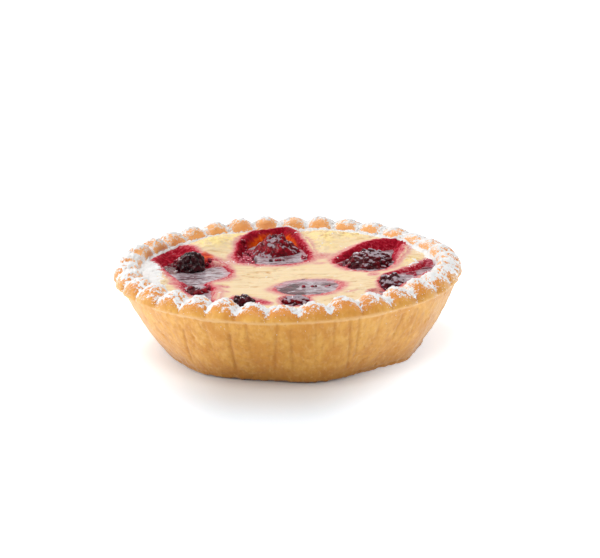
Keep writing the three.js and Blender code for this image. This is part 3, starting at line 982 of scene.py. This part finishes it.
def make_sugar(name, ground, outward, thick, cover, closed):
    """A layer of sugar on the ground, where there is some cover of it."""
    faces = grid_faces(*ground.shape[:2], closed)
    mask = (cover.ravel()[faces] > 0).any(axis=1)
    layer = shell(ground + outward * thick[..., None], ground - outward * SUGAR_UNDER, mask, faces, {})
    make_piece(name, *layer, sugar_material(), "icing_sugar")


def make_rim_sugar():
    columns = rim_columns(SUGAR_LOBE_STEPS)
    angle, _, dip = columns
    points, shares = grid_of_rows(angle, rim_rows(columns, SUGAR_ROWS, 0.03, 0.99))
    normals = grid_normals(points)
    surface = points + normals * case_relief(points, angle, 1, shares)[..., None]
    cover = sugar_cover(points, normals, angle, dip, shares)
    powder = 0.16 * lumps(points, 0.55, 131) + 0.1 * lumps(points, 1.1, 135)
    heap = 1 + VALLEY_HEAP * dip ** 2
    thick = (SUGAR_DEPTH + powder) * heap * rise(cover, 0, 0.8) - 0.1 * (cover <= 0)
    make_sugar("icing_sugar_rim", surface, normals, thick, cover, True)


def filling_sugar_cover(points, distances):
    """How thickly the sugar lies on the filling: in the corner under the rim, and in drifts."""
    flat = points * (1, 1, 0)
    reach = from_axis(points)
    behind = rise(points[..., 1], -20, 30)
    corner = rise(reach, lerp(49.2, 48.7, behind), lerp(51.2, 50.7, behind))
    open_cream = rise(nearest_hollow(distances), 0, 1.2)
    cover = np.maximum(corner, in_ovals(flat, FILLING_DRIFTS, 0.3, 1.3))
    cover = cover * np.maximum(open_cream, rise(reach, 50.2, 51))
    return cover * 1.45 - 0.8 + 0.9 * roughness(flat, (3.2, 1.2, 1), 141) + 0.6 * lumps(flat, 0.7, 145)


def make_filling_sugar(points, distances):
    cover = filling_sugar_cover(points, distances)
    powder = 0.22 * lumps(points, 0.9, 151) + 0.1 * lumps(points, 0.5, 155)
    heaped = JUNCTION_HEAP * rise(from_axis(points), 48.5, 51.5) * (0.7 + lumps(points, 1.6, 157))
    thick = (0.7 * SUGAR_DEPTH + powder + heaped) * rise(cover, 0, 0.7) - 0.08 * (cover <= 0)
    make_sugar("icing_sugar_filling", points, up(1), thick, cover, False)


def grain_shape():
    """A tiny eight-sided lump."""
    points = np.array([(1, 0, 0), (-1, 0, 0), (0, 1, 0), (0, -1, 0), (0, 0, 1), (0, 0, -1)], float)
    faces = [(a, b, c) if (a + b + c) % 2 else (a, c, b) for a in (0, 1) for b in (2, 3) for c in (4, 5)]
    return points, np.array(faces)


def picked_places(points, chance, count, rng):
    """Points of a surface picked by chance."""
    picked = rng.choice(chance.size, count, p=(chance / chance.sum()).ravel())
    return points.reshape(-1, 3)[picked]


def make_grains(crust_points, filling_points, distances):
    """Loose grains of sugar round the drifts, joined in one mesh."""
    rng = np.random.default_rng(SEED)
    rim = crust_points[GRAIN_ROWS]
    angle = rim_columns(LOBE_STEPS)[0]
    sides = sum(hump(angle_between(math.radians(at), angle), width) for at, width in GRAIN_SIDES)
    on_rim = rise(facing_fall(grid_normals(rim)), -0.35, 0.7) * (0.35 + sides) + 0.02
    drifts = in_ovals(filling_points, FILLING_DRIFTS, 0.6, 1.5)
    on_filling = rise(from_axis(filling_points), 46.5, 51) + drifts + 0.004
    on_filling = on_filling * (nearest_hollow(distances) > 0)
    places = np.concatenate([
        picked_places(rim, on_rim, RIM_GRAINS, rng),
        picked_places(filling_points, on_filling, FILLING_GRAINS, rng),
    ])
    places = places + rng.normal(0, GRAIN_SCATTER, places.shape)
    shape, faces = grain_shape()
    size = rng.uniform(*GRAIN_SIZE, (len(places), 1, 1)) * rng.uniform(0.7, 1.3, (len(places), 1, 3))
    turns = np.linalg.qr(rng.normal(size=(len(places), 3, 3)))[0]
    mirrored = np.linalg.det(turns) < 0
    faces = repeated(faces, len(places), len(shape))
    faces[mirrored] = faces[mirrored][..., ::-1]
    points = (shape * size) @ turns + places[:, None]
    make_piece("icing_sugar_grains", points, faces.reshape(-1, 3), {}, sugar_material(), "icing_sugar")


# ---- Materials ----

class Look:
    """The nodes of a material or world, built round the one shader that it starts with."""

    def __init__(self, owner, shader="Principled BSDF"):
        owner.use_nodes = True
        self.owner = owner
        self.tree = owner.node_tree
        self.shader = self.tree.nodes[shader]

    def add(self, kind, inputs, **settings):
        made = self.tree.nodes.new("ShaderNode" + kind)
        for name, value in settings.items():
            setattr(made, name, value)
        for socket, value in inputs.items():
            self.put(made.inputs[socket], value)
        return made

    def put(self, socket, value):
        if isinstance(value, bpy.types.NodeSocket):
            self.tree.links.new(value, socket)
        elif socket.type == "RGBA":
            socket.default_value = (*value, 1)
        else:
            socket.default_value = value

    def set(self, **values):
        """Sets the shader's inputs, named with _ for a space."""
        for name, value in values.items():
            self.put(self.shader.inputs[name.replace("_", " ")], value)

    def place(self, kind="Object"):
        return self.add("TexCoord", {}).outputs[kind]

    def noise(self, size_mm, detail=3, roughness=0.55, squeeze=(1, 1, 1)):
        """Fine lumps about size_mm across, or longer along the axes that squeeze makes less of."""
        place = self.add("Mapping", {"Vector": self.place(), "Scale": squeeze}).outputs["Vector"]
        return self.add("TexNoise", {
            "Vector": place, "Scale": 1 / (size_mm * MM), "Detail": detail, "Roughness": roughness,
        }).outputs["Fac"]

    def layer(self, name):
        return self.add("Attribute", {}, attribute_name=name).outputs["Fac"]

    def math(self, operation, a, b=0):
        return self.add("Math", {0: a, 1: b}, operation=operation).outputs[0]

    def plus(self, a, b):
        return self.math("ADD", a, b)

    def times(self, a, b):
        return self.math("MULTIPLY", a, b)

    def span(self, value, low, high, start=0.0, end=1.0):
        """Maps low to high onto start to end, smoothly."""
        return self.add("MapRange", {
            "Value": value, "From Min": low, "From Max": high, "To Min": start, "To Max": end,
        }, interpolation_type="SMOOTHSTEP").outputs["Result"]

    def mix(self, share, a, b):
        made = self.add("Mix", {"Factor": share}, data_type="RGBA")
        colours = [socket for socket in made.inputs if socket.type == "RGBA"]
        self.put(colours[0], a)
        self.put(colours[1], b)
        return next(socket for socket in made.outputs if socket.type == "RGBA")

    def coats(self, colour, *coats):
        """A colour under coats, each a share of the surface, its strength there and its colour."""
        for share, strength, coat in coats:
            colour = self.mix(self.times(share, strength), colour, coat)
        return colour

    def ramp(self, value, *stops):
        made = self.add("ValToRGB", {"Fac": value})
        elements = made.color_ramp.elements
        while len(elements) < len(stops):
            elements.new(0.5)
        for element, (at, colour) in zip(elements, stops):
            element.position = at
            element.color = (*colour, 1)
        return made.outputs["Color"]

    def grain(self, size_mm, detail, strength, depth_mm, squeeze=(1, 1, 1)):
        """Gives the surface a fine grain."""
        height = self.noise(size_mm, detail, squeeze=squeeze)
        inputs = {"Height": height, "Strength": strength, "Distance": depth_mm * MM}
        self.set(Normal=self.add("Bump", inputs).outputs["Normal"])


def new_look(name):
    return Look(bpy.data.materials.new(name))


SUGAR_WHITE = (0.93, 0.92, 0.91)
SUGAR_SHADE = (0.9, 0.89, 0.88)
# the lilac-grey of the reflection painted on the berries' upper sides
PAINTED_REFLECTION_LILAC = (0.46, 0.38, 0.43)


def pastry_material():
    look = new_look("baked_pastry")
    blotches = look.span(look.noise(6, 5), 0.35, 0.65)
    streaks = look.span(look.noise(1.6, 5, squeeze=(1, 1, 0.22)), 0.4, 0.7)
    flecks = look.span(look.noise(1.1, 5, squeeze=(1, 1, 0.5)), 0.5, 0.72)
    scorched = look.span(look.noise(1.5, 4), 0.56, 0.72)
    baked = look.coats(
        look.mix(blotches, (0.78, 0.39, 0.069), (0.67, 0.283, 0.036)),
        (streaks, 0.45, (0.56, 0.2, 0.016)),
        # darker towards the foot: partly browner baking, partly painted shade
        (look.layer("foot"), 0.7, (0.46, 0.17, 0.012)),
        (flecks, 0.34, (0.9, 0.58, 0.22)),
        (look.layer("bloom"), 0.9, (0.81, 0.275, 0.03)),
        (look.layer("inner"), 1, (1, 0.47, 0.16)),
        # painted highlight along the seam's ledge
        (look.layer("seam"), 0.6, (0.85, 0.52, 0.22)),
        # painted shade in the creases and valleys
        (look.layer("crease_shade"), 0.85, (0.47, 0.16, 0.012)),
        (scorched, 0.36, (0.5, 0.18, 0.02)),
    )
    specks = look.span(look.noise(0.4, 4, roughness=0.7), 0.3, 0.7, -0.46, 0.46)
    powder = look.plus(look.layer("sugar"), specks)
    look.set(Base_Color=look.mix(look.span(powder, 0.44, 0.6), baked, SUGAR_WHITE))
    look.set(Roughness=0.5, Specular_IOR_Level=0.45, Sheen_Weight=0.35, Sheen_Roughness=0.4)
    look.grain(0.6, 4, 0.6, 0.2)
    return look.owner


def juice_colour(look):
    """The stain's colour, from pale pink through crimson to near black, with a fine grain in it."""
    stain = look.layer("stain")
    grain = look.span(look.noise(0.9, 4, roughness=0.7), 0.25, 0.75, -0.2, 0.2)
    grained = look.plus(stain, look.times(grain, look.span(stain, 0.02, 0.3)))
    return look.ramp(
        grained,
        (0.0, (0.83, 0.63, 0.42)),
        (0.12, (0.75, 0.4, 0.33)),
        (0.3, (0.66, 0.17, 0.19)),
        (0.42, (0.55, 0.05, 0.08)),
        (0.54, (0.42, 0.008, 0.025)),
        (0.7, (0.29, 0.003, 0.014)),
        (0.85, (0.2, 0.002, 0.008)),
        (1.0, (0.1, 0.001, 0.004)),
    )


def cream_material():
    look = new_look("baked_cream")
    stain = look.layer("stain")
    dust = look.layer("dust")
    streaks = look.span(look.noise(1.8, 6, squeeze=(0.2, 1, 1)), 0.42, 0.72)
    golden = look.times(look.layer("golden"), look.span(look.noise(3.4, 6, roughness=0.68), 0.4, 0.58))
    cream = look.coats(
        (0.87, 0.69, 0.445),
        (streaks, 0.5, (0.82, 0.585, 0.285)),
        (golden, 0.95, (0.98, 0.76, 0.33)),
        # painted shade in the folds of the cream
        (look.layer("crease_shade"), 0.8, (0.7, 0.42, 0.2)),
    )
    amber = look.ramp(look.noise(2.5, 4), (0.35, (0.52, 0.022, 0.002)), (0.6, (0.82, 0.12, 0.004)))
    colour = look.mix(look.span(stain, 0.01, 0.12), cream, juice_colour(look))
    colour = look.mix(look.layer("amber"), colour, amber)
    powder = look.plus(dust, look.span(look.noise(0.7, 5, roughness=0.7), 0.3, 0.7, -0.7, 0.52))
    gloss = look.span(stain, 0.15, 0.5, 0.5, 0.38)
    look.set(Base_Color=look.mix(look.span(powder, 0.4, 0.85), colour, SUGAR_WHITE))
    look.set(Roughness=look.span(dust, 0.2, 0.6, gloss, 0.9), Specular_IOR_Level=0.012)
    look.set(Subsurface_Weight=0.08, Subsurface_Radius=(0.002, 0.001, 0.0005))
    look.grain(0.8, 4, 0.3, 0.15, squeeze=(0.4, 1, 1))
    return look.owner


def syrup_material():
    look = new_look("berry_syrup")
    deep = look.mix(look.span(look.noise(3, 3), 0.35, 0.7), (0.05, 0.004, 0.01), (0.15, 0.014, 0.03))
    # painted highlights along the ripples
    waves = look.span(look.noise(1.1, 5, squeeze=(0.4, 1, 1)), 0.5, 0.59)
    # painted reflection: the lilac-grey of the bright room on the pools
    painted_room_reflection = look.coats(
        look.mix(look.span(look.noise(2.2, 5), 0.42, 0.58), (0.26, 0.155, 0.178), (0.43, 0.335, 0.365)),
        (waves, 0.9, (0.6, 0.55, 0.59)),
        (look.layer("shore"), 0.7, (0.6, 0.24, 0.28)),
    )
    reflection_gap_share = look.times(look.layer("clear"), 0.4)
    reflection_share = look.math("SUBTRACT", look.noise(2.6, 5, squeeze=(0.35, 1, 1)), reflection_gap_share)
    look.set(Base_Color=look.mix(look.span(reflection_share, 0.3, 0.47), deep, painted_room_reflection))
    look.set(Roughness=look.span(look.noise(2.5, 3), 0.4, 0.7, 0.1, 0.3), Specular_IOR_Level=0.25)
    look.set(Coat_Weight=0.12, Coat_Roughness=0.08)
    look.grain(1.2, 4, 0.6, 0.25, squeeze=(0.5, 1, 1))
    return look.owner


@cache
def berry_material():
    look = new_look("berries_cooked")
    redness = look.layer("redness")
    deep = look.mix(redness, (0.004, 0.001, 0.002), (0.06, 0.002, 0.006))
    bright = look.mix(redness, (0.06, 0.006, 0.012), (0.48, 0.006, 0.02))
    unlike = look.times(look.layer("which"), 0.4)
    patches = look.plus(look.span(look.noise(1.6, 3), 0.35, 0.7, 0, 0.6), unlike)
    look.set(Base_Color=look.coats(
        look.mix(patches, deep, bright),
        # painted shade in the grooves
        (look.layer("groove_shade"), 0.7, deep),
        # painted reflection on the upper sides
        (look.layer("painted_reflection"), 0.9, PAINTED_REFLECTION_LILAC),
    ))
    look.set(Roughness=look.span(look.noise(0.9, 3), 0.3, 0.7, 0.04, 0.18), Specular_IOR_Level=0.19)
    look.grain(0.6, 3, 0.25, 0.2)
    return look.owner


def drupelet_material():
    look = new_look("drupelets_cooked")
    look.set(Base_Color=look.ramp(
        look.plus(look.layer("tint"), look.span(look.noise(1.2, 3), 0.3, 0.7, -0.2, 0.2)),
        (0.0, (0.03, 0.002, 0.005)),
        (0.4, (0.28, 0.008, 0.025)),
        (0.75, (0.5, 0.04, 0.08)),
        (1.0, (0.62, 0.17, 0.22)),
    ))
    look.set(Roughness=0.15, Specular_IOR_Level=0.25)
    look.grain(0.5, 3, 0.4, 0.15)
    return look.owner


@cache
def sugar_material():
    look = new_look("icing_sugar_dusted")
    look.set(Base_Color=look.mix(look.span(look.noise(0.8, 3), 0.3, 0.7), SUGAR_WHITE, SUGAR_SHADE))
    look.set(Roughness=0.95, Specular_IOR_Level=0.1, Sheen_Weight=0.4, Sheen_Roughness=0.5)
    look.grain(0.35, 3, 0.3, 0.15)
    return look.owner


# ---- Floor, light and camera ----

def make_floor():
    """A pale floor, which glows a little round the tart, where the photo is brighter than its lights."""
    mesh = bpy.data.meshes.new("floor")
    corners = [(FLOOR_HALF * x, FLOOR_HALF * y, 0) for x, y in ((-1, -1), (1, -1), (1, 1), (-1, 1))]
    mesh.from_pydata(corners, [], [(0, 1, 2, 3)])
    look = new_look("floor_white")
    away = look.add("VectorMath", {0: look.place()}, operation="LENGTH").outputs["Value"]
    across = look.math("SUBTRACT", look.add("SeparateXYZ", {0: look.place()}).outputs["X"], GLOW_MIDDLE_X)
    beside = look.math("ABSOLUTE", across)
    look.set(Base_Color=(0.81, 0.85, 0.885), Roughness=0.8, Specular_IOR_Level=0.2)
    look.set(Emission_Color=(0.9, 1, 1.1))
    look.set(Emission_Strength=look.plus(look.span(beside, *GLOW_BESIDE), look.span(away, *GLOW_AWAY)))
    mesh.materials.append(look.owner)
    new_object("floor", mesh)


def make_room():
    """A plain room round the tart, brighter behind it and at its left."""
    look = Look(bpy.data.worlds.new("studio"), "Background")
    rotation = (0, 0, math.radians(ROOM_TURN_DEG))
    place = look.place("Generated")
    turned = look.add("Mapping", {"Vector": place, "Rotation": rotation}).outputs["Vector"]
    behind = look.add("SeparateXYZ", {0: turned}).outputs["Y"]
    look.set(Color=(1, 1, 1), Strength=look.span(behind, *ROOM_SHADE))
    bpy.context.scene.world = look.owner


def place_light(light, place, aim):
    made = new_object(light.name, light)
    made.location = place
    made.rotation_euler = (Vector(aim) - Vector(place)).to_track_quat("-Z", "Y").to_euler()


def make_lights():
    for name, place, sides, watts in SOFT_BOXES:
        light = bpy.data.lights.new(name, "AREA")
        light.shape = "RECTANGLE"
        light.size, light.size_y = sides
        light.energy = watts
        place_light(light, place, LIGHT_AIM)
    for name, place, spread_deg, strength in SUNS:
        light = bpy.data.lights.new(name, "SUN")
        light.angle = math.radians(spread_deg)
        light.energy = strength
        place_light(light, place, (0, 0, 0))


def make_camera():
    camera = new_object("camera", bpy.data.cameras.new("camera"))
    camera.data.sensor_width = CAMERA_SENSOR
    camera.data.lens = CAMERA_LENS
    camera.data.clip_end = CAMERA_FARTHEST
    camera.location = CAMERA_PLACE
    aimed = (Vector(CAMERA_AIM) - Vector(CAMERA_PLACE)).to_track_quat("-Z", "Y")
    camera.rotation_euler = (aimed @ Quaternion((0, 0, 1), math.radians(CAMERA_ROLL_DEG))).to_euler()
    bpy.context.scene.camera = camera


# ---- The tart ----

crust_points, crust_layers = crust_surface()
make_crust(crust_points, crust_layers)
filling_points, filling_distances = filling_grid()
make_filling(filling_points, filling_distances)
make_syrup(filling_points, filling_distances)
berry_ball = ball_directions(BERRY_FINENESS)
for berry_name in BERRIES:
    make_berry(berry_name, berry_ball)
make_loose_drupelets(ball_directions(DRUPELET_FINENESS))
make_rim_sugar()
make_filling_sugar(filling_points, filling_distances)
make_grains(crust_points, filling_points, filling_distances)
make_floor()
make_room()
make_lights()
make_camera()
bpy.context.scene.view_settings.view_transform = "Standard"
